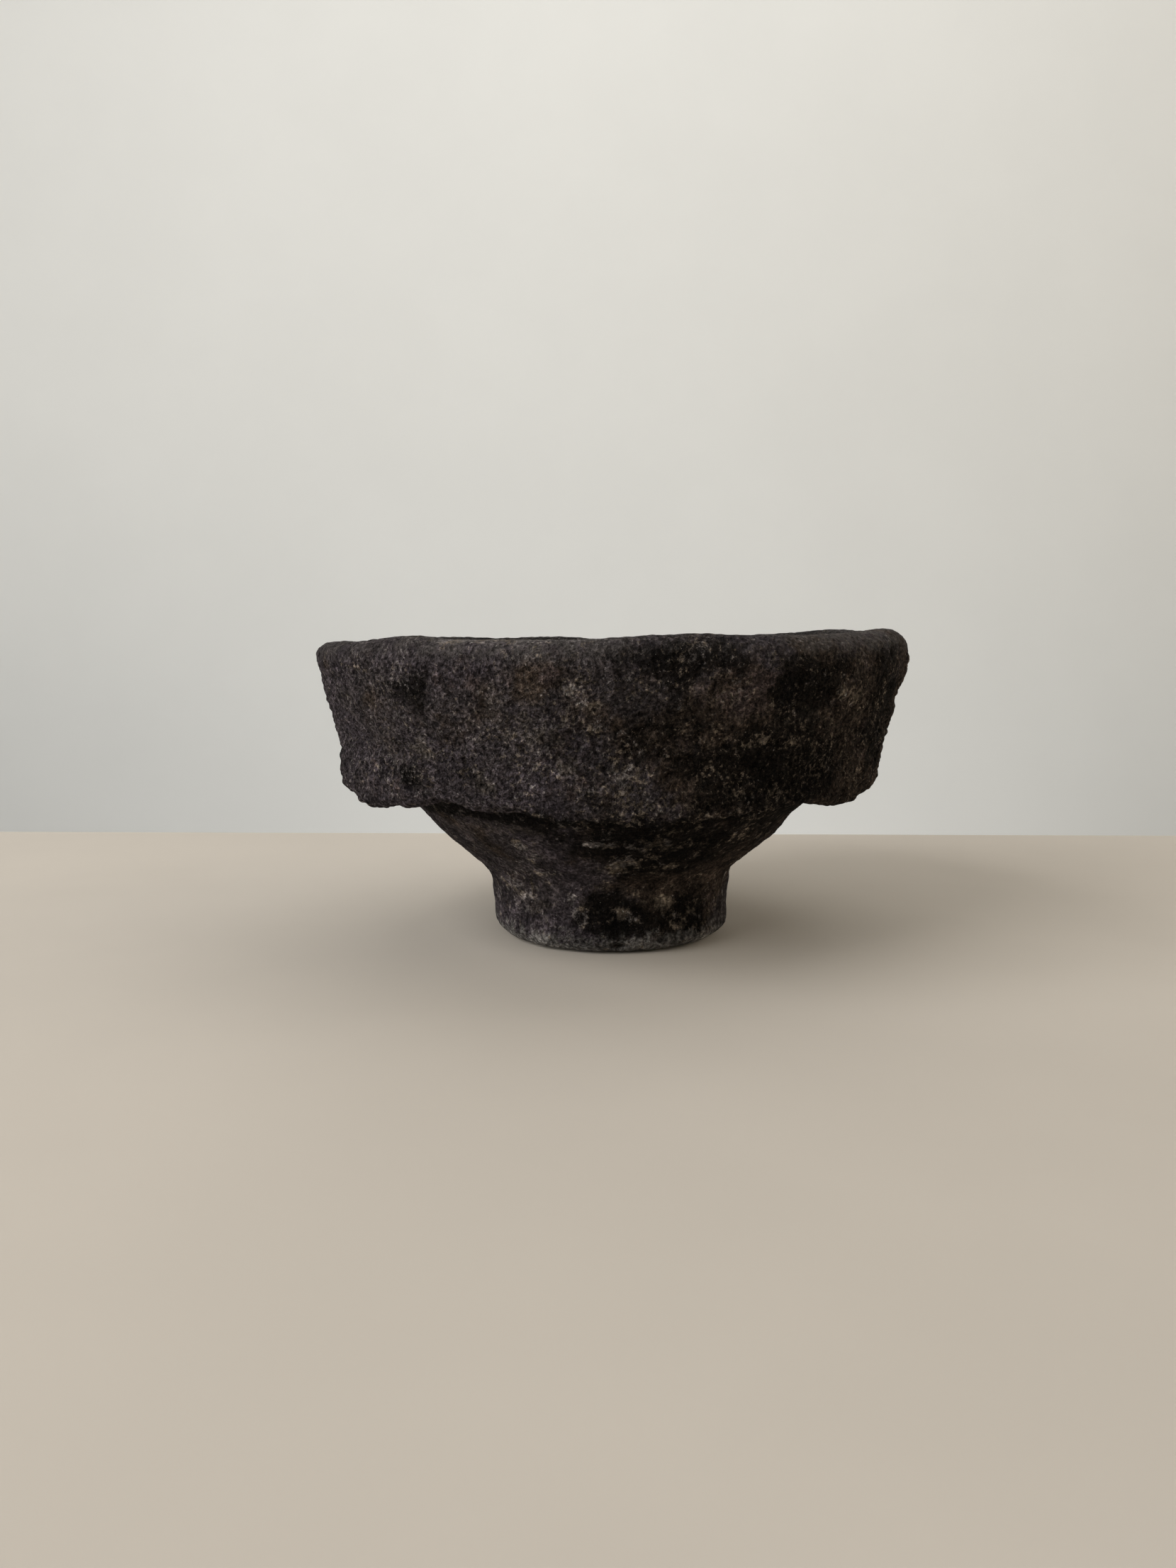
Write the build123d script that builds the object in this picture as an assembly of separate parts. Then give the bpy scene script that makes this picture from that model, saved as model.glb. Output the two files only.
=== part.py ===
from build123d import *
import os

# Molcajete: a mortar carved from one block of dark volcanic stone, with its loose stone pestle.
#
# Frame: millimetres, +Z up, origin at the centre of the foot's resting face. The mortar stands on a
# round foot, flares through a plain neck to an overhanging ledge, and carries a deep rough-dressed band
# whose rim isn't quite level: it rises towards +X. The pestle, called a tejolote, lies in the basin.
# Each stone is one solid in its own STEP: parts/mortar.step and parts/tejolote.step.

# Foot and neck, around the vertical axis
FOOT_RADIUS = 40.8
FOOT_HEIGHT = 21.0
FOOT_TAPER = 1.6  # the foot is this much narrower where it meets the ground
FOOT_CORNER = 5.0  # worn edge under the foot
WAIST_ROUND = 9.0  # hollow curve from foot to neck
NECK_TOP_RADIUS = 73.5
NECK_TOP = 52.5
NECK_INSIDE = 20.0  # how far the neck's stone runs up inside the band's
NECK_INSIDE_ROUND = 1.0

# Band, around an axis that leans with the rim
RIM_LEAN = 1.2  # degrees: how far the rim is from level
BAND_BOTTOM = 51.5  # height of the ledge under the band
BAND_TOP = 103.6
BAND_TOP_RADIUS = 100.0
LIP_TAPER = 1.0  # the band is this much narrower at its top than at its shoulder
BAND_BOTTOM_RADIUS = 90.5
SHOULDER = 97.0  # height where the side is widest
EDGE_ROUND = 7.0  # the band's lower corner, hammered round
SHOULDER_ROUND = 3.0
LIP_OUTER_ROUND = 4.5
LIP_INNER_ROUND = 6.0

# Basin: a worn bowl, part of a sphere
MOUTH_RADIUS = 83.0
BASIN_FLOOR = 42.0
CUT_ABOVE = 15.0  # how far the basin's cut runs on above the rim

# Flakes struck off the band's lower edge: bearing in degrees from +X, depth, radius of the hollow
EDGE_FLAKES = [
    (8, 1.6, 22),
    (37, 2.4, 30),
    (66, 1.5, 24),
    (92, 2.2, 34),
    (121, 1.8, 26),
    (150, 2.6, 28),
    (176, 1.7, 20),
    (200, 1.6, 16),
    (238, 3.0, 30),
    (267, 1.4, 18),
    (290, 1.5, 22),
    (311, 3.2, 26),
    (343, 2.2, 22),
]

# Chips out of the foot's worn edge: bearing in degrees from +X, depth, radius of the hollow
FOOT_CHIPS = [
    (275, 1.6, 9),
    (24, 1.2, 11),
    (140, 1.4, 10),
]
CHIP_INSET = 1.5  # a chip bites from this far in and up from the foot's corner

# Tejolote: a short rounded pestle, thicker at its grinding end
TEJOLOTE_LENGTH = 92.0
GRINDING_RADIUS = 22.5
GRIP_RADIUS = 16.5
GRINDING_ROUND = 11.0
GRIP_ROUND = 9.0

# Where the tejolote lies in the basin
TEJOLOTE_BEARING = 28.0  # direction of its grinding end, in degrees from +X
TEJOLOTE_DIP = 0.34  # degrees its axis falls towards the grinding end
TEJOLOTE_BACK = 3.96  # its middle is this far towards the grip from the lowest point it can find
TEJOLOTE_DROP = 57.77  # its middle is this far below the centre of the bowl's ball


def around_z(profile):
    """The solid swept by a closed profile drawn in the XZ plane."""
    return revolve(profile, Axis.Z)


def foot_and_neck():
    """The plain lower stone: a round foot, a hollow waist and a cone that runs up inside the band."""
    inner_height = BAND_BOTTOM + NECK_INSIDE
    edge = FilletPolyline(
        (0, 0),
        (FOOT_RADIUS - FOOT_TAPER, 0),
        (FOOT_RADIUS, FOOT_HEIGHT),
        (NECK_TOP_RADIUS, NECK_TOP),
        (NECK_TOP_RADIUS, inner_height),
        (0, inner_height),
        radius=[FOOT_CORNER, WAIST_ROUND, NECK_INSIDE_ROUND, NECK_INSIDE_ROUND],
    )
    profile = Plane.XZ * make_face(edge + Line((0, inner_height), (0, 0)))
    return around_z(profile)


def band():
    """The rough outer band as a full drum, upright."""
    edge = FilletPolyline(
        (0, BAND_BOTTOM),
        (BAND_BOTTOM_RADIUS, BAND_BOTTOM),
        (BAND_TOP_RADIUS, SHOULDER),
        (BAND_TOP_RADIUS - LIP_TAPER, BAND_TOP),
        (0, BAND_TOP),
        radius=[EDGE_ROUND, SHOULDER_ROUND, LIP_OUTER_ROUND],
    )
    profile = Plane.XZ * make_face(edge + Line((0, BAND_TOP), (0, BAND_BOTTOM)))
    return around_z(profile)


def edge_flakes():
    """Balls that each bite a shallow hollow out of the rounded corner under the band."""
    inset = EDGE_ROUND * (1 - 1 / 2**0.5)
    corner_r = BAND_BOTTOM_RADIUS - inset
    corner_z = BAND_BOTTOM + inset
    balls = []
    for bearing, depth, size in EDGE_FLAKES:
        reach = (size - depth) / 2**0.5
        place = Rot(0, 0, bearing) * Pos(corner_r + reach, 0, corner_z - reach)
        balls.append(place * Sphere(size))
    return balls


def bowl_ball():
    """Radius, and height of the centre, of the ball that the basin is part of."""
    depth = BAND_TOP - BASIN_FLOOR
    ball = (MOUTH_RADIUS**2 + depth**2) / (2 * depth)
    return ball, BASIN_FLOOR + ball


def basin():
    """The hollow and its rounded mouth, upright: a ball's lower part that opens out over the lip."""
    ball, centre = bowl_ball()
    start = BAND_TOP - LIP_INNER_ROUND
    start_r = (ball**2 - (centre - start) ** 2) ** 0.5
    mid_r = ball / 2**0.5
    land_r = start_r + LIP_INNER_ROUND
    above = BAND_TOP + CUT_ABOVE
    edge = [
        ThreePointArc((0, BASIN_FLOOR), (mid_r, centre - mid_r), (start_r, start)),
        RadiusArc((start_r, start), (land_r, BAND_TOP), LIP_INNER_ROUND),
        Polyline((land_r, BAND_TOP), (land_r, above), (0, above), (0, BASIN_FLOOR)),
    ]
    return around_z(Plane.XZ * make_face(edge))


def foot_chips():
    """Balls that each bite a chip out of the foot's lower edge."""
    edge_r = FOOT_RADIUS - FOOT_TAPER
    balls = []
    for bearing, depth, size in FOOT_CHIPS:
        reach = (size - depth) / 2**0.5
        place = Rot(0, 0, bearing) * Pos(edge_r - CHIP_INSET + reach, 0, CHIP_INSET - reach)
        balls.append(place * Sphere(size))
    return balls


def lean(shape):
    """Tips a shape with the rim: +X goes up, about the middle of the widest level."""
    pivot = Pos(0, 0, SHOULDER)
    return pivot * Rot(0, -RIM_LEAN, 0) * pivot.inverse() * shape


def mortar():
    """The whole carved stone."""
    stone = foot_and_neck() + lean(band())
    stone = stone - lean(basin())
    for ball in edge_flakes():
        stone = stone - lean(ball)
    for ball in foot_chips():
        stone = stone - ball
    return stone


def tejolote():
    """The pestle, lying at rest in the basin with a hair of room at both ends."""
    half = TEJOLOTE_LENGTH / 2
    edge = FilletPolyline(
        (0, -half),
        (GRINDING_RADIUS, -half),
        (GRIP_RADIUS, half),
        (0, half),
        radius=[GRINDING_ROUND, GRIP_ROUND],
    )
    upright = around_z(Plane.XZ * make_face(edge + Line((0, half), (0, -half))))
    lying = Pos(-TEJOLOTE_BACK, 0, -TEJOLOTE_DROP) * Rot(0, -90 + TEJOLOTE_DIP, 0) * upright
    bowl_centre = lean(Pos(0, 0, bowl_ball()[1]) * Vertex(0, 0, 0)).center()
    return Pos(bowl_centre) * Rot(0, 0, TEJOLOTE_BEARING) * lying


os.makedirs("parts", exist_ok=True)
export_step(mortar(), "parts/mortar.step")
export_step(tejolote(), "parts/tejolote.step")
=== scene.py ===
import math

import bpy
import numpy as np
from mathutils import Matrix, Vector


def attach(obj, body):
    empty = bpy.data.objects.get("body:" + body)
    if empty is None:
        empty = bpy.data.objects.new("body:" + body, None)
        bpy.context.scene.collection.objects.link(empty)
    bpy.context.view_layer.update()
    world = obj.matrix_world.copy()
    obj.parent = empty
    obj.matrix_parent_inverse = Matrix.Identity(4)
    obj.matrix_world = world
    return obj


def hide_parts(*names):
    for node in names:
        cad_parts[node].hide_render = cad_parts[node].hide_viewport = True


# The looks of a molcajete: one carved basalt mortar, and the short basalt pestle that lies in it.
# Shapes are worked out in millimetres in the part's own frame and turned to metres when a mesh is made.
# Bearings are in degrees: 0 points to +X, 90 to +Y (the back), 270 to -Y (the front).

MM = 0.001

# ---------------------------------------------------------------- the mortar's shape

# Half section of the stone, from the middle of the foot's underside, up the outside, over the lip and
# down into the basin: radius, height, and the row spacing wanted there.
SECTION = [
    (0.0, 0.25, 3.0),
    (32.5, 0.1, 2.2),
    (38.2, 0.9, 1.0),
    (40.4, 3.8, 1.0),
    (40.9, 10.0, 1.0),
    (41.4, 16.0, 1.0),
    (42.5, 21.4, 1.0),
    (45.0, 25.4, 1.0),
    (50.0, 29.8, 1.0),
    (56.0, 35.2, 1.05),
    (62.5, 41.4, 1.1),
    (68.6, 47.4, 1.15),
    (73.0, 52.6, 1.15),
    (78.0, 55.2, 1.1),
    (84.0, 53.4, 0.8),
    (89.2, 52.4, 0.58),
    (91.4, 54.2, 0.58),
    (92.3, 60.0, 0.58),
    (93.4, 67.0, 0.58),
    (94.9, 74.0, 0.58),
    (97.0, 82.0, 0.58),
    (99.0, 90.0, 0.58),
    (100.2, 96.5, 0.58),
    (99.8, 100.8, 0.58),
    (96.9, 103.5, 0.58),
    (92.0, 104.0, 0.7),
    (87.3, 102.4, 0.8),
    (83.2, 98.4, 1.1),
    (77.6, 90.0, 1.35),
    (71.0, 78.9, 1.45),
    (61.0, 67.1, 1.45),
    (49.0, 57.2, 1.5),
    (36.0, 49.8, 1.6),
    (23.0, 45.1, 2.0),
    (11.0, 42.7, 2.6),
    (0.0, 42.0, 3.0),
]
# Stations of the section, by their place in the list above
SOLE_MIDDLE, SOLE, SOLE_EDGE, FOOT_EDGE = 0, 1, 2, 3
WAIST, NECK, ROOT = 7, 11, 12
UNDER, CORNER, SIDE_LOW, SIDE = 13, 15, 17, 18
SHOULDER, CREST, MOUTH = 22, 25, 27
BOWL, BOWL_FLOOR = 30, 35

# How much of something there is along the section: station, share
CREST_SHARE = [(SIDE, 0), (SHOULDER, 0.7), (CREST - 1, 1), (CREST, 1), (MOUTH, 0.7), (MOUTH + 2, 0)]
EDGE_SHARE = [(ROOT, 0), (UNDER, 0.3), (CORNER - 1, 0.9), (CORNER + 0.6, 1), (SIDE_LOW + 2, 0)]
SWELL_SHARE = [(SOLE, 0), (FOOT_EDGE, 1), (CREST, 1), (CREST + 1, 0)]
SHIFT_SHARE = [(MOUTH, 0), (BOWL, 1)]
LIP_SHARE = [(SHOULDER, 0), (SHOULDER + 1, 1), (CREST, 1), (MOUTH, 0)]
BOWL_SHARE = [(CREST, 0), (MOUTH, 0.3), (BOWL, 0.7), (BOWL_FLOOR, 0.9)]
PLAIN_SHARE = [(WAIST, 0.8), (ROOT, 0.7), (CORNER, 0)]
CHALK_SHARE = [
    (SOLE_MIDDLE, 0.8),
    (SOLE, 1.5),
    (SOLE_EDGE, 2.0),
    (FOOT_EDGE, 1.1),
    (FOOT_EDGE + 1, 0.15),
    (FOOT_EDGE + 2, 0),
]
# Painted shade on the neck under the ledge, all round, added to the soot: station, share
LEDGE_PAINTED_SHADE = [(NECK, 0), (ROOT, 1.2), (CORNER - 1.2, 1.2), (CORNER - 0.6, 0)]

SECTION_BLUR = 1.1  # mm: how far the section's corners are worn round
RING_POINTS = 840  # points in the mortar's widest rings
HALF_RADIUS = 58.0  # mm: rings narrower than this have half as many points
QUARTER_RADIUS = 18.0  # mm: and these a quarter
CREST_MEAN = 103.7  # mm: height of the crest of the section above, once worn
CREST_WEAR = 4.0  # degrees: how far one height of the crest is eased into the next
EDGE_MEAN = 53.3  # mm: height of the lower edge of the section above, once worn
EDGE_WEAR = 2.2  # degrees: the same for the lower edge
EDGE_BITE = 0.35  # mm that the lower edge stands back for each mm that it is bitten up
BOWL_SHIFT = -0.66  # mm: the bowl's middle, along X
FINE_STEP = 0.2  # mm: step along the section while it is worn round
FINE_BEARING = 0.5  # degrees: step round the stone while its heights are eased
STONE_SEED = 41
STONE_PATCH = 0  # which part of the material's noise the mortar takes

# Height of the rim's crest all round, as carved: bearing, height
CREST_HEIGHTS = [
    (0, 105.0),
    (14, 105.0),
    (26, 106.0),
    (40, 103.8),
    (60, 102.6),
    (80, 101.4),
    (90, 101.0),
    (105, 102.5),
    (119, 102.0),
    (133, 102.5),
    (150, 101.6),
    (165, 100.9),
    (180, 101.3),
    (204, 101.8),
    (216, 102.0),
    (226, 103.0),
    (234, 104.1),
    (240, 102.9),
    (255, 102.9),
    (268, 103.1),
    (274, 104.0),
    (288, 104.7),
    (302, 103.9),
    (315, 104.5),
    (326, 104.8),
    (331, 105.9),
    (337, 105.9),
    (346, 104.7),
]
# Height of the band's ragged lower edge all round: bearing, height
EDGE_HEIGHTS = [
    (0, 54.0),
    (15, 52.8),
    (30, 54.4),
    (45, 53.2),
    (60, 54.8),
    (75, 53.0),
    (90, 54.0),
    (105, 55.2),
    (120, 53.4),
    (135, 54.6),
    (150, 52.6),
    (165, 53.6),
    (180, 53.6),
    (196, 53.6),
    (205, 54.2),
    (212, 51.6),
    (220, 52.6),
    (226, 53.6),
    (231, 53.8),
    (234.5, 56.2),
    (240, 55.6),
    (245, 53.9),
    (250, 54.9),
    (255, 53.8),
    (262, 51.9),
    (267, 52.9),
    (271, 52.0),
    (277, 50.9),
    (283, 52.0),
    (288, 52.3),
    (292, 52.9),
    (302, 54.8),
    (311, 56.5),
    (314, 55.4),
    (318, 53.9),
    (325, 53.5),
    (331, 54.3),
    (336, 54.9),
    (348, 55.2),
]
# Places where the outside stands out or in: bearing, height, reach in degrees, reach in mm, how far out
SWELLS = [
    (188, 71, 34, 7, -0.7),
    (196, 57, 24, 5, 0.5),
    (189, 92, 20, 4, -0.9),
    (351, 91, 16, 3, 0.5),
    (351, 83, 12, 2.5, -1.2),
    (348, 45, 34, 5, -1.9),
    (350, 25, 30, 4, -1.8),
    (345, 4, 40, 5, 0.9),
    (274, 3.3, 4.0, 1.1, -2.2),
    (235, 3, 14, 4, 0.9),
    (305, 3, 14, 4, 0.9),
    (190, 8, 40, 9, 0.5),
    (190, 34, 30, 12, 0.5),
    (215, 80, 16, 14, -0.9),
    (238, 88, 14, 12, 0.8),
    (262, 70, 20, 14, 0.6),
    (300, 66, 22, 12, -0.8),
    (318, 90, 18, 10, 0.6),
    (60, 75, 30, 14, 0.8),
    (110, 68, 24, 12, -0.9),
    (140, 84, 26, 12, 0.7),
]

# Roughness of the stone: size of the lumps in mm, then how far they stand out in mm at these stations
ROUGH_STATIONS = [
    SOLE_MIDDLE,
    SOLE_EDGE,
    FOOT_EDGE,
    WAIST,
    ROOT,
    CORNER,
    SIDE_LOW,
    SHOULDER,
    CREST,
    MOUTH,
    BOWL,
    BOWL_FLOOR,
]
ROUGHNESS = [
    (46, [0.0, 0.1, 0.4, 0.7, 0.6, 0.8, 1.1, 0.7, 0.2, 0.3, 0.3, 0.2]),
    (19, [0.1, 0.2, 0.45, 0.5, 0.5, 0.8, 0.7, 0.5, 0.2, 0.3, 0.3, 0.2]),
    (8.5, [0.1, 0.1, 0.4, 0.3, 0.4, 0.6, 0.45, 0.4, 0.15, 0.2, 0.2, 0.15]),
    (4.2, [0.1, 0.1, 0.2, 0.25, 0.35, 0.6, 0.65, 0.5, 0.15, 0.2, 0.15, 0.12]),
    (2.1, [0.1, 0.1, 0.15, 0.2, 0.25, 0.65, 0.75, 0.6, 0.12, 0.15, 0.1, 0.08]),
]
# Pits pecked or burst in the surface: spacing in mm, then their depth in mm at the same stations
PITS = [
    (5.2, [0.0, 0.1, 0.2, 0.3, 0.5, 0.7, 0.8, 0.6, 0.2, 0.4, 0.4, 0.3]),
    (3.1, [0.0, 0.1, 0.2, 0.2, 0.3, 0.65, 0.75, 0.6, 0.15, 0.3, 0.35, 0.35]),
]
PIT_REACH = 0.42  # radius of the largest pit, as a share of the pits' spacing
SMALLEST_PIT = 0.35  # radius of the smallest, as a share of the largest
FINE_LUMP = 12  # mm: lumps smaller than this also lighten the stone where they stand out and darken it in hollows and pits, as painted light and shade
SEED_STEP = 10  # between one size of lumps or pits and the next
PIT_SEEDS = 500  # from the lumps' seeds to the pits'
NOISE_GAIN = 1.6  # brings the noise up to about -1 to 1

STAIN_KINDS = ("pink", "tan", "pale", "soot_and_shade", "brown")
# Stains on the mortar, with a few places of painted shade among the soot: kind, bearing, height, reach in
# degrees, reach in mm, strength
STAINS_AND_SHADE = [
    ("pink", 249, 93, 6, 5, 1.2),
    ("pink", 261, 94, 2.5, 2.5, 1.2),
    ("pink", 226, 64, 7, 7, 0.8),
    ("pink", 222, 96, 6, 3.5, 0.5),
    ("pink", 265, 61, 6, 6, 0.6),
    ("pink", 291, 87, 6, 5, 1.6),
    ("pink", 295, 93, 5, 4, 1.0),
    ("pink", 301, 70, 3, 2.5, 0.9),
    ("pink", 325, 73, 11, 9, 0.7),
    ("pink", 277, 74, 6, 6, 0.6),
    ("pink", 297, 56, 2.5, 9, 0.9),
    ("pink", 297, 37, 3, 3, 1.2),
    ("pink", 293, 45, 6, 3, 1.0),
    ("pink", 225, 19, 16, 8, 0.5),
    ("pink", 320, 12, 9, 9, 1.0),
    ("tan", 235, 72, 4, 4, 1.6),
    ("tan", 253, 85, 7, 8, 0.8),
    ("tan", 259, 77, 5, 6, 0.8),
    ("tan", 263, 68, 2.5, 4, 1.2),
    ("tan", 247, 63.5, 3, 5, 1.2),
    ("tan", 304, 81, 8, 3.5, 1.2),
    ("tan", 245, 46, 14, 6, 0.8),
    ("tan", 288, 38, 3, 2, 1.4),
    ("tan", 239, 13.5, 9, 5, 1.0),
    ("pale", 226, 64, 7, 7, 1.0),
    ("pale", 263.5, 89.5, 1.2, 1.8, 3.0),
    ("pale", 266.5, 86, 2, 1.2, 2.4),
    ("pale", 267.6, 79.6, 1.2, 2, 2.6),
    ("pale", 312.5, 88, 1.6, 2.2, 2.6),
    ("pale", 316.5, 86.5, 1.6, 2.2, 2.6),
    ("pale", 303, 74.4, 1.5, 1.2, 2.4),
    ("pale", 294, 74.3, 1.2, 1.4, 2.0),
    ("pale", 297, 75.3, 1.6, 1.2, 2.0),
    ("pale", 291, 51.5, 7, 2.5, 1.6),
    ("pale", 273, 64.5, 4, 5, 0.9),
    ("pale", 245, 103, 10, 0.9, 1.5),
    ("pale", 262, 103, 8, 0.8, 0.9),
    ("pale", 279, 57, 5, 4, 0.9),
    ("pale", 241.3, 39.3, 2.2, 2.0, 3.0),
    ("pale", 265.3, 41, 2.6, 0.9, 3.6),
    ("pale", 270.2, 40.6, 1.6, 0.8, 3.6),
    ("pale", 271.5, 33.3, 4, 2.6, 1.4),
    ("pale", 225, 19, 16, 8, 1.0),
    ("pale", 295, 17, 6, 3, 2.0),
    ("pale", 276, 14.5, 2.5, 1.6, 2.4),
    ("pale", 282, 12, 2.5, 1.6, 2.0),
    ("soot_and_shade", 235.6, 90, 5, 5.5, 0.5),
    ("soot_and_shade", 230, 63, 2.5, 3.5, 0.8),
    ("soot_and_shade", 276, 80, 14, 22, 0.45),
    ("soot_and_shade", 302, 12, 20, 12, 0.95),
    ("soot_and_shade", 285, 99, 9, 5, 0.7),
    ("soot_and_shade", 303, 91, 5, 6, 1.2),
    ("soot_and_shade", 303, 63, 14, 9, 1.2),
    ("soot_and_shade", 320, 80, 26, 28, 0.5),
    # soot on the neck, also painted shade below the ledge
    ("soot_and_shade", 282, 40, 18, 9, 1.7),
    ("soot_and_shade", 320, 42, 30, 10, 0.6),
    ("soot_and_shade", 268, 13, 13, 6, 1.6),
    ("soot_and_shade", 309, 10, 9, 5, 1.3),
    # painted shade: a dark strip on the neck just under the ledge
    ("soot_and_shade", 250, 50, 34, 3, 1.2),
    # painted shade in the chip at the foot's edge
    ("soot_and_shade", 274, 3.3, 3.4, 0.8, 5.0),
    ("soot_and_shade", 115, 101.5, 36, 3, 1.0),
    ("soot_and_shade", 32, 104, 18, 3, 0.7),
    ("brown", 285, 70, 20, 14, 0.6),
    ("brown", 325, 70, 40, 40, 1.2),
    ("brown", 300, 20, 34, 26, 0.8),
]
# How far down the outside the lip is rubbed smooth, all round: bearing, share
LIP_WEAR = [
    (0, 0.7),
    (40, 0.9),
    (75, 0.4),
    (110, 0.8),
    (160, 0.6),
    (200, 0.8),
    (228, 0.5),
    (238, 1.0),
    (268, 1.0),
    (278, 0.35),
    (298, 0.5),
    (306, 1.0),
    (340, 1.0),
]

# ---------------------------------------------------------------- the pestle's shape

# Half section along the pestle's own axis: radius, place along it from the grinding
# end to the grip, and row spacing
PESTLE_SECTION = [
    (0.0, -46.0, 1.6),
    (9.5, -45.6, 1.2),
    (15.6, -43.8, 1.0),
    (20.0, -40.2, 1.0),
    (22.0, -33.0, 1.0),
    (21.7, -22.0, 1.0),
    (20.0, -8.0, 1.0),
    (18.3, 8.0, 1.0),
    (17.2, 24.0, 1.0),
    (16.7, 34.0, 1.0),
    (15.6, 40.4, 1.0),
    (12.4, 44.2, 1.0),
    (6.8, 45.7, 1.2),
    (0.0, 46.0, 1.6),
]
PESTLE_RING = 128  # points in each of the pestle's rings
PESTLE_BEARING = 28.0  # degrees: direction of its grinding end
PESTLE_DIP = 0.34  # degrees that its axis falls towards the grinding end
PESTLE_MIDDLE = (-4.16, -1.86, 70.94)  # where its middle lies
PESTLE_SINK = 0.1  # mm that its whole surface is drawn in, to stay clear of the bowl
PESTLE_SEED = 77
PESTLE_PATCH = 300  # which part of the material's noise the pestle takes
PESTLE_ROUGH = [(30, 0.5), (12, 0.35), (5, 0.22), (2.4, 0.12)]  # size of lumps, how far they stand out
PESTLE_PITS = [(4.6, 0.5), (2.8, 0.3)]  # spacing of pits, their depth
PESTLE_ENDS = (6.0, 40.0)  # mm from its middle: the same up to the first, and from the second on
PESTLE_ROUGHNESS = (1.0, 0.6)  # share of the roughness there
PESTLE_WEAR = (0.45, 1.0)  # and how worn it is

# ---------------------------------------------------------------- nets of points


def around(bearings, knots, wear):
    """A value for each bearing from (bearing, value) knots, eased over a few degrees of wear."""
    fine = np.arange(0, 360, FINE_BEARING)
    places, values = zip(*knots)
    level = np.interp(fine, places, values, period=360)
    offset = (fine + 180) % 360 - 180
    kernel = np.exp(-((offset / wear) ** 2))
    spectrum = np.fft.rfft(level) * np.fft.rfft(kernel / kernel.sum())
    return np.interp(bearings, fine, np.fft.irfft(spectrum, len(fine)), period=360)


def worn_section(section):
    """The section as closely spaced points, its corners worn round: station, radius, height, spacing."""
    knots = np.array(section)
    run = np.concatenate([[0], np.cumsum(np.hypot(*np.diff(knots[:, :2], axis=0).T))])
    along = np.arange(0, run[-1] + FINE_STEP / 2, FINE_STEP)
    station = np.interp(along, run, np.arange(len(knots)))
    reach = int(4 * SECTION_BLUR / FINE_STEP)
    kernel = np.exp(-((np.arange(-reach, reach + 1) * FINE_STEP / SECTION_BLUR) ** 2) / 2)
    kernel /= kernel.sum()
    columns = [station]
    for column in knots.T:
        line = np.interp(along, run, column)
        before = 2 * line[0] - line[reach:0:-1]
        after = 2 * line[-1] - line[-2 : -reach - 2 : -1]
        padded = np.concatenate([before, line, after])
        columns.append(np.convolve(padded, kernel, "valid"))
    return np.array(columns)


def section_rows(section):
    """The rows of a section's mesh: station, radius and height of each, and its share of the way along."""
    station, radius, height, spacing = worn_section(section)
    step = np.hypot(np.diff(radius), np.diff(height))
    count = np.concatenate([[0], np.cumsum(step / ((spacing[1:] + spacing[:-1]) / 2))])
    length = np.concatenate([[0], np.cumsum(step)])
    wanted = np.linspace(0, count[-1], int(round(count[-1])) + 1)
    rows = [np.interp(wanted, count, column) for column in (station, radius, height, length / length[-1])]
    return np.array(rows).T


class Lathe:
    """A closed net of rings, one for each row, with a single point at each end. A ring may have as many
    points as the next one, or twice or half as many. Holds each point's row and bearing, and the faces."""

    def __init__(self, shares, sizes, first_bearing):
        self.shares = shares
        self.sizes = sizes
        self.starts = np.concatenate([[0], np.cumsum(sizes)])
        self.row = np.repeat(np.arange(len(sizes)), sizes)
        column = np.arange(self.starts[-1]) - self.starts[self.row]
        self.bearing = first_bearing + 360.0 * column / np.array(sizes)[self.row]
        self.faces = []
        self.unwrapped = []
        for row in range(len(sizes) - 1):
            self.join(row)

    def join(self, low):
        """Adds the faces between a row and the next."""
        below, above = self.sizes[low], self.sizes[low + 1]
        j = np.arange(max(min(below, above), 1))
        if below == 1:
            j = np.arange(above)
            self.add(low, [(0, j, 0.5), (1, j + 1, 0), (1, j, 0)])
        elif above == 1:
            j = np.arange(below)
            self.add(low, [(0, j, 0), (0, j + 1, 0), (1, j, 0.5)])
        elif below == above:
            self.add(low, [(0, j, 0), (0, j + 1, 0), (1, j + 1, 0), (1, j, 0)])
        elif below > above:
            self.add(low, [(0, 2 * j, 0), (0, 2 * j + 1, 0), (1, j, 0)])
            self.add(low, [(0, 2 * j + 1, 0), (1, j + 1, 0), (1, j, 0)])
            self.add(low, [(0, 2 * j + 1, 0), (0, 2 * j + 2, 0), (1, j + 1, 0)])
        else:
            self.add(low, [(0, j, 0), (1, 2 * j + 1, 0), (1, 2 * j, 0)])
            self.add(low, [(0, j, 0), (0, j + 1, 0), (1, 2 * j + 1, 0)])
            self.add(low, [(0, j + 1, 0), (1, 2 * j + 2, 0), (1, 2 * j + 1, 0)])

    def add(self, low, corners):
        """Adds a face for each column; a corner is (1 if in the row above, column, share of a column)."""
        ids = []
        flat = []
        other = max(self.sizes[low], self.sizes[low + 1])
        for up, column, extra in corners:
            size = self.sizes[low + up]
            ids.append(self.starts[low + up] + column % size)
            across = (column + extra) / (other if size == 1 else size)
            flat.append(np.stack([across, np.full(len(column), self.shares[low + up])], axis=1))
        self.faces.append(np.stack(ids, axis=1))
        self.unwrapped.append(np.stack(flat, axis=1))

    def triangles(self):
        """All faces as triangles, for working out normals."""
        cut = [f[:, :3] for f in self.faces]
        cut += [f[:, [0, 2, 3]] for f in self.faces if f.shape[1] == 4]
        return np.concatenate(cut)


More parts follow.
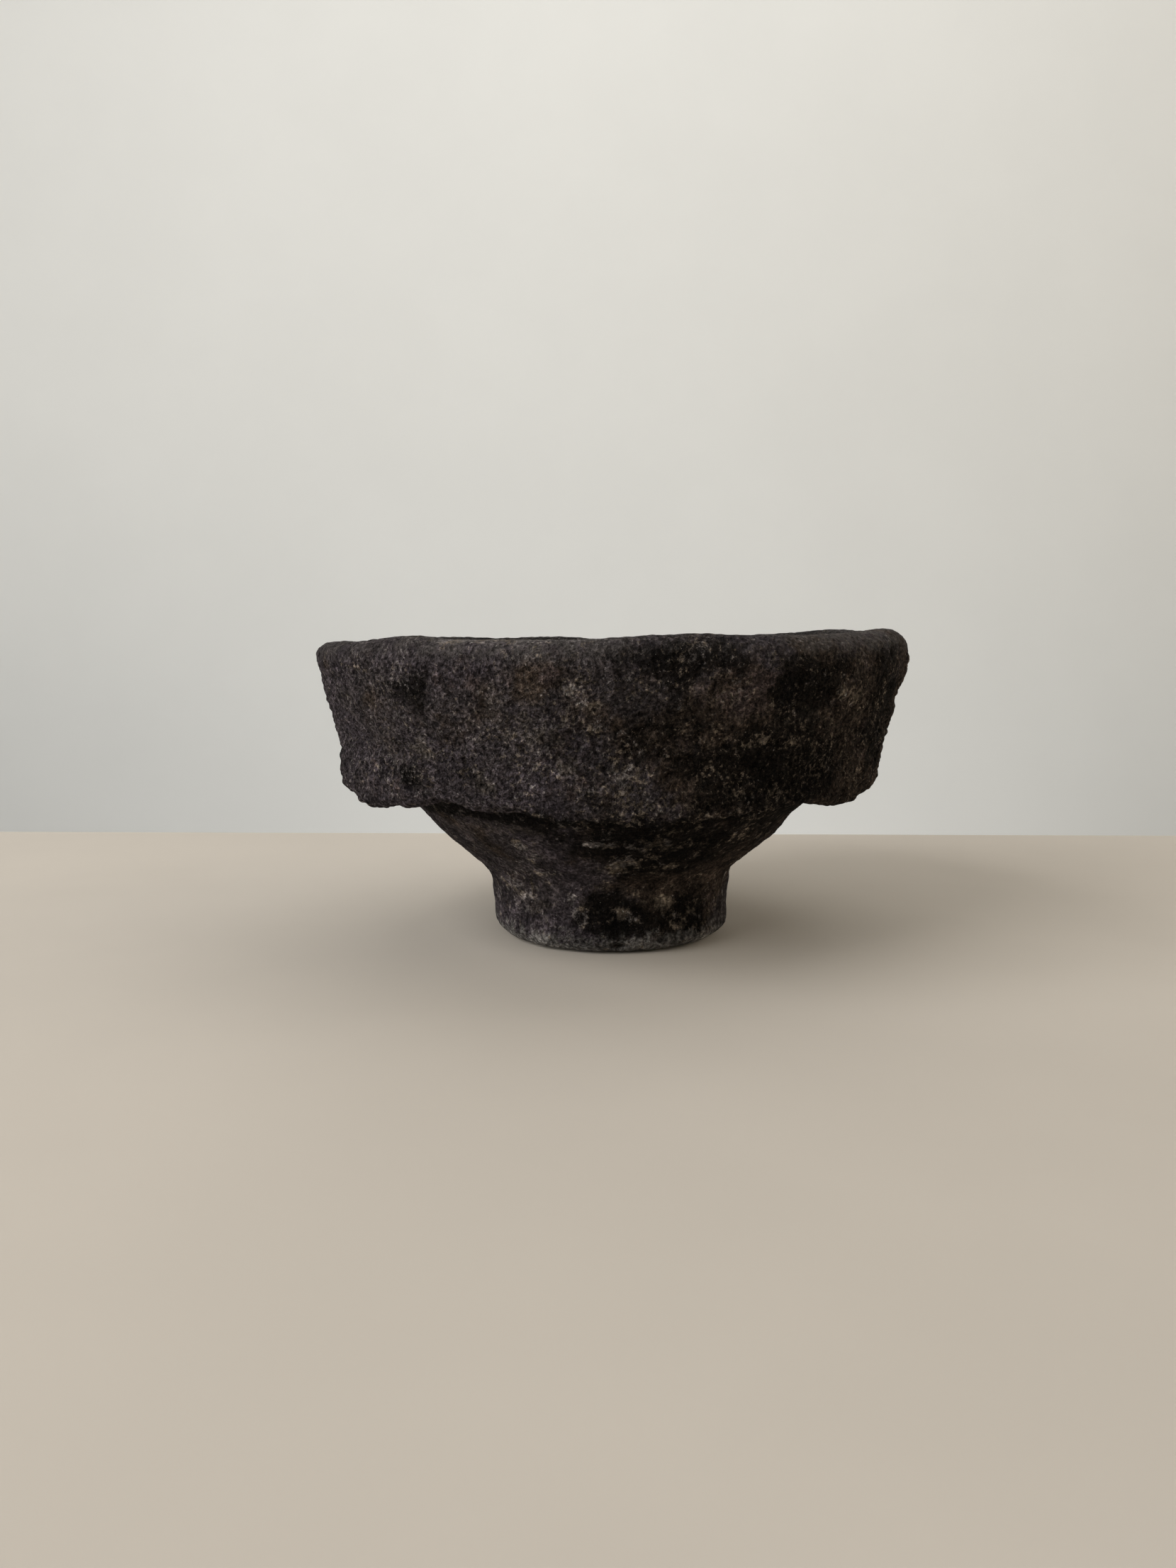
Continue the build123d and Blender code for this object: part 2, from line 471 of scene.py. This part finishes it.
def point_normals(points, triangles):
    """The surface's outward direction at each point."""
    a, b, c = (points[triangles[:, k]] for k in range(3))
    across = np.cross(b - a, c - a)
    total = np.zeros_like(points)
    for axis in range(3):
        for k in range(3):
            total[:, axis] += np.bincount(triangles[:, k], across[:, axis], len(points))
    return total / np.maximum(np.linalg.norm(total, axis=1, keepdims=True), 1e-12)


def hash_order(seed):
    """A fixed shuffle of 0 to 255, twice over, so that sums of two values can index it."""
    order = np.random.default_rng(seed).permutation(256)
    return np.concatenate([order, order])


def smooth_noise(points, grain, seed):
    """Gradient noise, about -1 to 1, for points in mm: its lumps are about half of grain across."""
    order = hash_order(seed)
    slopes = np.random.default_rng(seed + 1).normal(size=(256, 3))
    slopes /= np.linalg.norm(slopes, axis=1, keepdims=True)
    spot = points / grain
    cell = np.floor(spot).astype(int)
    part = spot - cell
    fade = part**3 * (part * (part * 6 - 15) + 10)
    total = np.zeros(len(points))
    for corner in np.ndindex(2, 2, 2):
        x, y, z = ((cell + corner) & 255).T
        key = order[order[order[x] + y] + z]
        rise = ((part - corner) * slopes[key]).sum(axis=1)
        total += rise * np.prod(np.where(corner, fade, 1 - fade), axis=1)
    return NOISE_GAIN * total


def nearest_pit(points, spacing, seed):
    """Distance to the nearest of scattered pits, as a share of spacing, and that pit's 0-to-1 size."""
    order = hash_order(seed)
    scatter = np.random.default_rng(seed + 1).random((256, 4))
    spot = points / spacing
    cell = np.floor(spot).astype(int)
    part = spot - cell
    nearest = np.full(len(points), 9.0)
    size = np.zeros(len(points))
    for shift in np.ndindex(3, 3, 3):
        step = np.array(shift) - 1
        x, y, z = ((cell + step) & 255).T
        pick = scatter[order[order[order[x] + y] + z]]
        gap = np.linalg.norm(step + pick[:, :3] - part, axis=1)
        closer = gap < nearest
        nearest = np.where(closer, gap, nearest)
        size = np.where(closer, pick[:, 3], size)
    return nearest, size


def by_station(net, rows, knots):
    """A value for each point from (station, value) knots along the section."""
    stations, values = zip(*knots)
    return np.interp(rows[:, 0], stations, values)[net.row]


def ring_sizes(rows):
    """How many points each row's ring has: fewer where the stone is narrow, one at each end."""
    sizes = []
    for radius in rows[:, 1]:
        share = 1 if radius > HALF_RADIUS else 2 if radius > QUARTER_RADIUS else 4
        sizes.append(RING_POINTS // share)
    sizes[0] = sizes[-1] = 1
    return sizes


def bearing_gap(bearings, middle):
    """How far each bearing is from middle, in degrees, the short way round."""
    return (bearings - middle + 180) % 360 - 180


def mortar_form(net, rows):
    """The mortar's points before its roughness: the section turned round, with an uneven rim and ledge."""
    radius = rows[net.row, 1].copy()
    height = rows[net.row, 2].copy()
    crest = around(net.bearing, CREST_HEIGHTS, CREST_WEAR)
    edge = around(net.bearing, EDGE_HEIGHTS, EDGE_WEAR)
    crest_share = by_station(net, rows, CREST_SHARE)
    edge_share = by_station(net, rows, EDGE_SHARE)
    swell = np.zeros(len(radius))
    for bearing, level, reach, rise, out in SWELLS:
        near = np.exp(-((bearing_gap(net.bearing, bearing) / reach) ** 2) - ((height - level) / rise) ** 2)
        swell += out * near
    radius += by_station(net, rows, SWELL_SHARE) * swell - EDGE_BITE * edge_share * (edge - EDGE_MEAN)
    height += crest_share * (crest - CREST_MEAN) + edge_share * (edge - EDGE_MEAN)
    turn = np.radians(net.bearing)
    x = radius * np.cos(turn) + BOWL_SHIFT * by_station(net, rows, SHIFT_SHARE)
    y = radius * np.sin(turn)
    return np.stack([x, y, height], axis=1)


def stone_relief(points, levels, pits, seed):
    """How far each point stands out of the smooth form, in mm. levels and pits are lists of a size and,
    for each point, a depth."""
    relief = np.zeros(len(points))
    for k, (grain, reach) in enumerate(levels):
        relief += reach * smooth_noise(points, grain, seed + SEED_STEP * k)
    for k, (spacing, depth) in enumerate(pits):
        gap, size = nearest_pit(points, spacing, seed + PIT_SEEDS + SEED_STEP * k)
        reach = PIT_REACH * (SMALLEST_PIT + (1 - SMALLEST_PIT) * size)
        relief -= depth * size * np.clip(1 - (gap / reach) ** 2, 0, 1)
    return relief


def fine_relief(form, levels, pits, seed):
    """The part of the relief in small lumps and pits."""
    return stone_relief(form, [level for level in levels if level[0] < FINE_LUMP], pits, seed)


def mortar_points(net, rows):
    """The mortar's finished points, in mm, standing on the ground, and the fine part of its relief."""
    form = mortar_form(net, rows)
    levels = [(grain, by_station(net, rows, zip(ROUGH_STATIONS, reach))) for grain, reach in ROUGHNESS]
    pits = [(spacing, by_station(net, rows, zip(ROUGH_STATIONS, depth))) for spacing, depth in PITS]
    out = point_normals(form, net.triangles())
    relief = stone_relief(form, levels, pits, STONE_SEED)
    points = form + out * relief[:, None]
    points[:, 2] -= points[:, 2].min()
    return points, fine_relief(form, levels, pits, STONE_SEED)


def stained(kind, net, height):
    """How strongly each point has one kind of stain; the soot kind also holds painted shade."""
    total = np.zeros(len(height))
    for stain, bearing, level, reach, rise, strength in STAINS_AND_SHADE:
        if stain == kind:
            near = ((bearing_gap(net.bearing, bearing) / reach) ** 2) + ((height - level) / rise) ** 2
            total += strength * np.exp(-near)
    return total


def pestle_points(net, rows):
    """The pestle's points, in mm, lying in the bowl, and the fine part of its relief."""
    turn = np.radians(net.bearing)
    radius = rows[net.row, 1]
    form = np.stack([radius * np.cos(turn), radius * np.sin(turn), rows[net.row, 2]], axis=1)
    rough = np.interp(np.abs(form[:, 2]), PESTLE_ENDS, PESTLE_ROUGHNESS)
    levels = [(grain, reach * rough) for grain, reach in PESTLE_ROUGH]
    pits = [(spacing, depth * rough) for spacing, depth in PESTLE_PITS]
    out = point_normals(form, net.triangles())
    relief = stone_relief(form, levels, pits, PESTLE_SEED) - PESTLE_SINK
    points = form + out * relief[:, None]
    bearing, dip = math.radians(PESTLE_BEARING), math.radians(PESTLE_DIP)
    level = math.cos(dip)
    along = np.array([-math.cos(bearing) * level, -math.sin(bearing) * level, math.sin(dip)])
    across = np.array([-math.sin(bearing), math.cos(bearing), 0.0])
    up = np.cross(along, across)
    placed = np.array(PESTLE_MIDDLE) + points @ np.stack([across, up, along])
    return placed, fine_relief(form, levels, pits, PESTLE_SEED)


# ---------------------------------------------------------------- making the pieces


def make_piece(name, net, points, body, node, slot, patch):
    """Turns a net and its points into a Blender piece that stands for a CAD node; patch picks its part of
    the material's noise."""
    mesh = bpy.data.meshes.new(name)
    faces = [face for group in net.faces for face in group.tolist()]
    mesh.from_pydata((points * MM).tolist(), [], faces)
    flat = mesh.uv_layers.new(name="OFBake")
    corners = np.concatenate([group.reshape(-1, 2) for group in net.unwrapped])
    flat.data.foreach_set("uv", corners.astype(np.float32).ravel())
    mesh.polygons.foreach_set("use_smooth", np.ones(len(mesh.polygons), bool))
    mesh.materials.append(basalt(slot, patch))
    mesh.update()
    piece = bpy.data.objects.new(name, mesh)
    bpy.context.scene.collection.objects.link(piece)
    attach(piece, body)
    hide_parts(node)
    return piece


def set_point_values(piece, values):
    """Stores numbers at each point of the piece, by name, for its material to read."""
    for name, numbers in values.items():
        layer = piece.data.attributes.new(name, "FLOAT", "POINT")
        layer.data.foreach_set("value", numbers.astype(np.float32))


def make_mortar():
    """The molcajete: rough outside, its lip rubbed smooth and its bowl worn by grinding."""
    rows = section_rows(SECTION)
    net = Lathe(rows[:, 3], ring_sizes(rows), 90.0)
    points, relief = mortar_points(net, rows)
    piece = make_piece("mortar_stone", net, points, "mortar_body", "mortar", "mortar_basalt", STONE_PATCH)
    outside = rows[net.row, 0] < MOUTH
    lip = by_station(net, rows, LIP_SHARE) * around(net.bearing, LIP_WEAR, CREST_WEAR)
    values = {
        # fine relief, which the material also uses to paint light on lumps and shade in hollows
        "relief": relief,
        "worn": np.maximum(by_station(net, rows, BOWL_SHARE), lip),
        "plain": by_station(net, rows, PLAIN_SHARE),
        "chalk": by_station(net, rows, CHALK_SHARE),
    }
    for kind in STAIN_KINDS:
        values[kind] = outside * stained(kind, net, points[:, 2])
    # adds the painted shade under the ledge to the soot stains
    values["soot_and_shade"] += by_station(net, rows, LEDGE_PAINTED_SHADE)
    set_point_values(piece, values)


def make_pestle():
    """The tejolote: pecked all over, worn smooth at both ends."""
    rows = section_rows(PESTLE_SECTION)
    sizes = [1] + [PESTLE_RING] * (len(rows) - 2) + [1]
    net = Lathe(rows[:, 3], sizes, 0.0)
    points, relief = pestle_points(net, rows)
    piece = make_piece(
        "tejolote_stone", net, points, "tejolote_body", "tejolote", "tejolote_basalt", PESTLE_PATCH
    )
    worn = np.interp(np.abs(rows[net.row, 2]), PESTLE_ENDS, PESTLE_WEAR)
    none = np.zeros(len(points))
    set_point_values(piece, {"relief": relief, "worn": worn, "plain": none, "chalk": none})


# ---------------------------------------------------------------- materials

# Colours of the stone and of what is on it
PURPLE_GREY = (0.0600, 0.0500, 0.0555)
OLIVE_GREY = (0.0580, 0.0490, 0.0500)
BROWN = (0.0560, 0.0415, 0.0325)
RUST = (0.092, 0.068, 0.064)
TAN = (0.100, 0.085, 0.074)
# black of soot, also painted as shade under the ledge and in the foot's chip
SOOT_AND_SHADE = (0.0090, 0.0074, 0.0060)
FLECK_GREY = (0.215, 0.193, 0.184)
FLECK_TAN = (0.195, 0.158, 0.122)
CRYSTAL = (0.50, 0.48, 0.44)
# lighter colour of the rubbed lip and bowl, partly wear and partly a painted sheen
RUBBED_WITH_SHEEN = (0.078, 0.069, 0.065)
CHALK = (0.170, 0.161, 0.152)

# Patches of colour, painted in this order: the stain that brings more of them on, colour, strength, size
# in mm, place in the noise, noise where a patch starts and where it is full, what the stain adds to the
# noise, and the detail and coarseness of its edges
PATCHES = [
    ("brown", BROWN, 1.0, 22, 10, 0.56, 0.72, 0.3, 4, 0.6),
    ("pink", RUST, 0.85, 7, 40, 0.60, 0.78, 0.2, 5, 0.7),
    ("tan", TAN, 0.8, 6, 90, 0.60, 0.78, 0.2, 5, 0.7),
    # soot patches, which also paint black shade under the ledge and in the foot's chip
    ("soot_and_shade", SOOT_AND_SHADE, 0.88, 17, 60, 0.57, 0.72, 0.33, 6, 0.65),
]

# Sizes in mm of what the material shows
REGION = 26
GRIT = 1.2
PIT = 1.0
MOTTLE = 7
FLECK = 1.4
PLAIN_FLECK = 3.2
CRYSTAL_SIZE = 0.9
GRIT_HEIGHT = 2.6  # how strongly the grit stands out


class Shader:
    """One material's node tree, with short ways to add to it."""

    def __init__(self, name):
        self.material = bpy.data.materials.new(name)
        self.material.use_nodes = True
        self.tree = self.material.node_tree
        self.tree.nodes.clear()
        place = self.add("TexCoord").outputs["Object"]
        scaled = self.add("VectorMath", {0: place, 1: (1 / MM, 1 / MM, 1 / MM)}, operation="MULTIPLY")
        self.spot = scaled.outputs[0]

    def add(self, kind, inputs=None, **settings):
        """Adds a node, sets it up, and links or fills its inputs."""
        made = self.tree.nodes.new("ShaderNode" + kind)
        for key, value in settings.items():
            setattr(made, key, value)
        for place, value in (inputs or {}).items():
            if isinstance(value, bpy.types.NodeSocket):
                self.tree.links.new(value, made.inputs[place])
            else:
                made.inputs[place].default_value = value
        return made

    def point_value(self, name):
        """A number stored at each of the mesh's points."""
        return self.add("Attribute", attribute_name=name).outputs["Fac"]

    def maths(self, action, first, second=0.0):
        """The outcome of one Math node: an action on one or two numbers."""
        return self.add("Math", {0: first, 1: second}, operation=action).outputs[0]

    def blend(self, share, low, high):
        """A number between low and high."""
        return self.add("Mix", {0: share, 2: low, 3: high}, data_type="FLOAT").outputs[0]

    def total(self, *parts):
        """The sum of (number, weight) pairs."""
        level = 0.0
        for value, weight in parts:
            level = self.add("Math", {0: value, 1: weight, 2: level}, operation="MULTIPLY_ADD").outputs[0]
        return level

    def between(self, value, low, high, bottom=0.0, top=1.0):
        """value eased from bottom, where it is low, to top, where it is high."""
        inputs = {"Value": value, "From Min": low, "From Max": high, "To Min": bottom, "To Max": top}
        return self.add("MapRange", inputs, interpolation_type="SMOOTHSTEP").outputs["Result"]

    def mix(self, share, low, high):
        """A colour between low and high."""
        low, high = ((*c, 1) if isinstance(c, tuple) else c for c in (low, high))
        return self.add("Mix", {0: share, 6: low, 7: high}, data_type="RGBA").outputs[2]

    def shade(self, colour, brightness):
        """A colour made darker or lighter by a number."""
        return self.add("VectorMath", {0: colour, "Scale": brightness}, operation="SCALE").outputs[0]

    def cloud(self, size, shift, detail=3.0, coarse=0.6, swirl=0.0):
        """Noise with lumps of that size in mm, mostly 0.3 to 0.7; shift picks another patch of it."""
        moved = self.add("VectorMath", {0: self.spot, 1: (shift, 0.7 * shift, -shift)}, operation="ADD")
        inputs = {"Vector": moved.outputs[0], "Scale": 1 / size, "Detail": detail}
        inputs.update({"Roughness": coarse, "Distortion": swirl})
        return self.add("TexNoise", inputs).outputs["Fac"]

    def patches(self, size, shift, low, high, extra=None, gain=0.3, **look):
        """Ragged patches, 0 to 1, where noise passes low to high; extra brings more of them on."""
        level = self.cloud(size, shift, **look)
        if extra is not None:
            level = self.maths("ADD", level, self.maths("MULTIPLY", extra, gain))
        return self.between(level, low, high)

    def finish(self, **inputs):
        """Ends the tree in a Principled shader with these inputs and returns the material."""
        named = {key.replace("_", " "): value for key, value in inputs.items()}
        shader = self.add("BsdfPrincipled", named)
        output = self.add("OutputMaterial")
        self.tree.links.new(shader.outputs[0], output.inputs["Surface"])
        return self.material


def stone_colour(stone, seed, given):
    """The stone's own colour in soft regions, with its stains painted over it, the soot's black also
    painted as shade under the ledge and in the foot's chip.
    """
    colour = stone.mix(stone.patches(REGION, seed, 0.42, 0.60, detail=4), PURPLE_GREY, OLIVE_GREY)
    for kind, paint, strength, size, place, low, high, gain, detail, coarse in PATCHES:
        look = {"detail": detail, "coarse": coarse}
        share = stone.patches(size, seed + place, low, high, given[kind], gain, **look)
        colour = stone.mix(stone.maths("MULTIPLY", share, strength), colour, paint)
    return colour


def rub_and_paint_sheen(stone, seed, given, colour):
    """Adds the rubbed lip, lighter partly from wear and partly as a painted sheen, and the chalky edge of
    the foot.
    """
    rubbed_and_sheen = stone.maths("MULTIPLY", given["worn"], stone.patches(5, seed + 21, 0.3, 0.6, detail=4))
    colour = stone.mix(stone.maths("MULTIPLY", rubbed_and_sheen, 0.85), colour, RUBBED_WITH_SHEEN)
    dusty = stone.patches(3.5, seed + 31, 0.62, 0.9, given["chalk"], 0.3, detail=5, coarse=0.7)
    return stone.mix(dusty, colour, CHALK)


def fleck(stone, seed, given, colour):
    """Adds pale flecks, thick in some places and thin in others."""
    thick = stone.cloud(13, seed + 70, detail=2)
    density = stone.total((thick, 0.35), (given["pale"], 0.10), (given["soot_and_shade"], 0.04))
    small = stone.cloud(FLECK, seed + 33, detail=4, coarse=0.7)
    large = stone.cloud(PLAIN_FLECK, seed + 36, detail=5, coarse=0.75)
    level = stone.maths("ADD", stone.blend(given["plain"], small, large), density)
    paint = stone.mix(
        stone.patches(6, seed + 51, 0.45, 0.60, given["brown"], 0.15), FLECK_GREY, FLECK_TAN
    )
    strength = stone.blend(given["plain"], 0.74, 1.1)
    return stone.mix(stone.maths("MULTIPLY", stone.between(level, 0.74, 0.85), strength), colour, paint)


def tone_and_painted_shade(stone, seed, given, smooth, grit, pits):
    """How bright the stone is: grains and mottling, brighter and darker by turns, and dark pits; grains,
    fine lumps and pits are painted as light on top and shade in the hollows, and soot and painted shade
    darken it.
    """
    worn, plain = given["worn"], given["plain"]
    mottle = stone.cloud(MOTTLE, seed + 13, detail=5, coarse=0.68)
    # painted light and shade: grit and the fine relief lighten raised grains and darken hollows, and pits
    # are darkened as shade; mottle is the stone's own tone
    level = stone.total(
        (stone.maths("SUBTRACT", grit, 0.5), stone.blend(plain, stone.blend(worn, 5.0, 2.9), 4.2)),
        (stone.maths("SUBTRACT", mottle, 0.5), stone.blend(plain, stone.blend(worn, 2.5, 1.8), 5.0)),
        (stone.maths("SUBTRACT", pits, 0.65), stone.blend(smooth, 0.85, 0.4)),
        (given["relief"], 0.5),
        (given["soot_and_shade"], -0.5),
        (plain, -0.14),
        (worn, -0.08),
    )
    return stone.maths("EXPONENT", level)


def glint(stone, seed, given, colour):
    """Adds a few bright crystals."""
    sparse = stone.total((stone.cloud(8, seed + 86, detail=2), 0.25), (given["pale"], 0.05))
    level = stone.maths("ADD", stone.cloud(CRYSTAL_SIZE, seed + 81, detail=2, swirl=0.6), sparse)
    return stone.mix(stone.between(level, 0.89, 0.93), colour, CRYSTAL)


def basalt(name, seed):
    """Pecked volcanic stone, blackened by use: granular, stained, with pale flecks and worn places; shade
    in its hollows, pits and under its ledge, light on its grains and a sheen on its lip are painted into
    its colour.
    """
    stone = Shader(name)
    given = {kind: stone.point_value(kind) for kind in ("relief", "worn", "plain", "chalk", *STAIN_KINDS)}
    smooth = stone.maths("MAXIMUM", given["worn"], given["plain"])
    # grit and pits make the bump below, and also paint light and shade into the colour
    grit = stone.cloud(GRIT, seed + 8, detail=3, coarse=0.6)
    pits = stone.between(stone.cloud(PIT, seed + 17, detail=2, coarse=0.6), 0.40, 0.48)

    colour = stone_colour(stone, seed, given)
    colour = rub_and_paint_sheen(stone, seed, given, colour)
    colour = fleck(stone, seed, given, colour)
    colour = stone.shade(colour, tone_and_painted_shade(stone, seed, given, smooth, grit, pits))
    colour = glint(stone, seed, given, colour)

    # relief finer than the mesh
    lumps = stone.maths("MULTIPLY", stone.total((grit, 3.0), (pits, 0.5)), stone.blend(smooth, 1.0, 0.3))
    bump = stone.add("Bump", {"Height": lumps, "Strength": 1.0, "Distance": GRIT_HEIGHT * MM})
    roughness = stone.between(given["worn"], 0, 1, 0.92, 0.7)
    return stone.finish(
        Base_Color=colour, Roughness=roughness, Normal=bump.outputs["Normal"], Specular_IOR_Level=0.06
    )


# ---------------------------------------------------------------- stage, light and camera

# Sizes and places here are in metres
EYE_HEIGHT = 0.1067
EYE_DISTANCE = 0.414
LOOK_DOWN = 7.6  # degrees
LOOK_LEFT = 1.09  # degrees
LENS = 27.05  # mm
SENSOR = 36  # mm
FLOOR_HALF = 2.5
FLOOR_EDGE = 0.19  # how far behind the stone's middle the floor ends
WALL_BACK = 0.95
WALL_HALF = 3.0
FLOOR_COLOUR = (0.60, 0.55, 0.482)
WALL_COLOUR = (0.775, 0.78, 0.755)
WORLD_COLOUR = (1.0, 0.97, 0.93, 1)
WORLD_STRENGTH = 0.03

# Lamps: name, place, what it faces, size, power in watts, colour
LAMPS = [
    ("window", (-1.07, -0.75, 0.8), (0, 0, 0.05), 1.2, 22, (1.0, 0.99, 0.98)),
    ("side", (1.36, -0.24, 0.65), (0, 0, 0.05), 1.5, 8, (1.0, 0.9, 0.76)),
    ("back", (0.1, 0.35, 1.2), (0.05, 0.95, 0.25), 1.2, 5, (1.0, 0.99, 0.98)),
    ("low", (0.1, 0.4, -0.45), (0.05, 0.95, 0.1), 0.8, 2, (1.0, 0.99, 0.98)),
]


def make_camera():
    """The camera, just above the rim and close in front."""
    data = bpy.data.cameras.new("camera")
    data.lens = LENS
    data.sensor_width = SENSOR
    data.clip_start = 0.01
    camera = bpy.data.objects.new("camera", data)
    camera.location = (0, -EYE_DISTANCE, EYE_HEIGHT)
    camera.rotation_euler = (math.radians(90 - LOOK_DOWN), 0, math.radians(LOOK_LEFT))
    bpy.context.scene.collection.objects.link(camera)
    bpy.context.scene.camera = camera


def make_light(name, spot, target, size, power, colour):
    """A soft square lamp at spot, facing target."""
    data = bpy.data.lights.new(name, "AREA")
    data.shape = "SQUARE"
    data.size = size
    data.energy = power
    data.color = colour
    lamp = bpy.data.objects.new(name, data)
    lamp.location = spot
    lamp.rotation_euler = (Vector(target) - Vector(spot)).to_track_quat("-Z", "Y").to_euler()
    bpy.context.scene.collection.objects.link(lamp)


def plain_material(name, colour, mottle):
    """A matt surface with a faint unevenness of tone."""
    surface = Shader(name)
    shade = surface.between(surface.cloud(160, 0), 0.3, 0.7, 1 - mottle, 1)
    return surface.finish(Base_Color=surface.shade(colour, shade), Roughness=0.95, Specular_IOR_Level=0.1)


def make_panel(name, corners, material):
    """A flat four-cornered part of the stage."""
    mesh = bpy.data.meshes.new(name)
    mesh.from_pydata(corners, [], [(0, 1, 2, 3)])
    mesh.materials.append(material)
    panel = bpy.data.objects.new(name, mesh)
    bpy.context.scene.collection.objects.link(panel)


def make_stage():
    """A pale floor that ends a hand's breadth behind the stone, and paler walls well away from it."""
    floor = plain_material("floor", FLOOR_COLOUR, 0.04)
    wall = plain_material("wall", WALL_COLOUR, 0.02)
    left, right, front, edge = -FLOOR_HALF, FLOOR_HALF, -FLOOR_HALF, FLOOR_EDGE
    make_panel("floor", [(left, front, 0), (right, front, 0), (right, edge, 0), (left, edge, 0)], floor)
    low, high = -WALL_HALF, WALL_HALF
    sides = {
        "wall_back": (left, WALL_BACK, right, WALL_BACK),
        "wall_front": (right, front, left, front),
        "wall_left": (left, front, left, WALL_BACK),
        "wall_right": (right, WALL_BACK, right, front),
    }
    for name, (x, y, far_x, far_y) in sides.items():
        make_panel(name, [(x, y, low), (far_x, far_y, low), (far_x, far_y, high), (x, y, high)], wall)


def make_world():
    """Dim even light from all round."""
    world = bpy.data.worlds.new("room")
    world.use_nodes = True
    background = world.node_tree.nodes["Background"]
    background.inputs["Color"].default_value = WORLD_COLOUR
    background.inputs["Strength"].default_value = WORLD_STRENGTH
    bpy.context.scene.world = world


# ---------------------------------------------------------------- putting it together

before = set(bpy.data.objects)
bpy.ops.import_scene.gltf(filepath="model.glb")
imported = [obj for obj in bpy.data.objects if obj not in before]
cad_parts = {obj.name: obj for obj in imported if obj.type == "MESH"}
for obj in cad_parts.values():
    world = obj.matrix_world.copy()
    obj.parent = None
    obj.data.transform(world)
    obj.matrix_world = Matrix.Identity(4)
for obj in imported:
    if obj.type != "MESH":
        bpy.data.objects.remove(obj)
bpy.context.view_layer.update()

make_mortar()
make_pestle()

make_stage()
make_world()
for lamp in LAMPS:
    make_light(*lamp)
make_camera()
bpy.context.scene.view_settings.view_transform = "Standard"
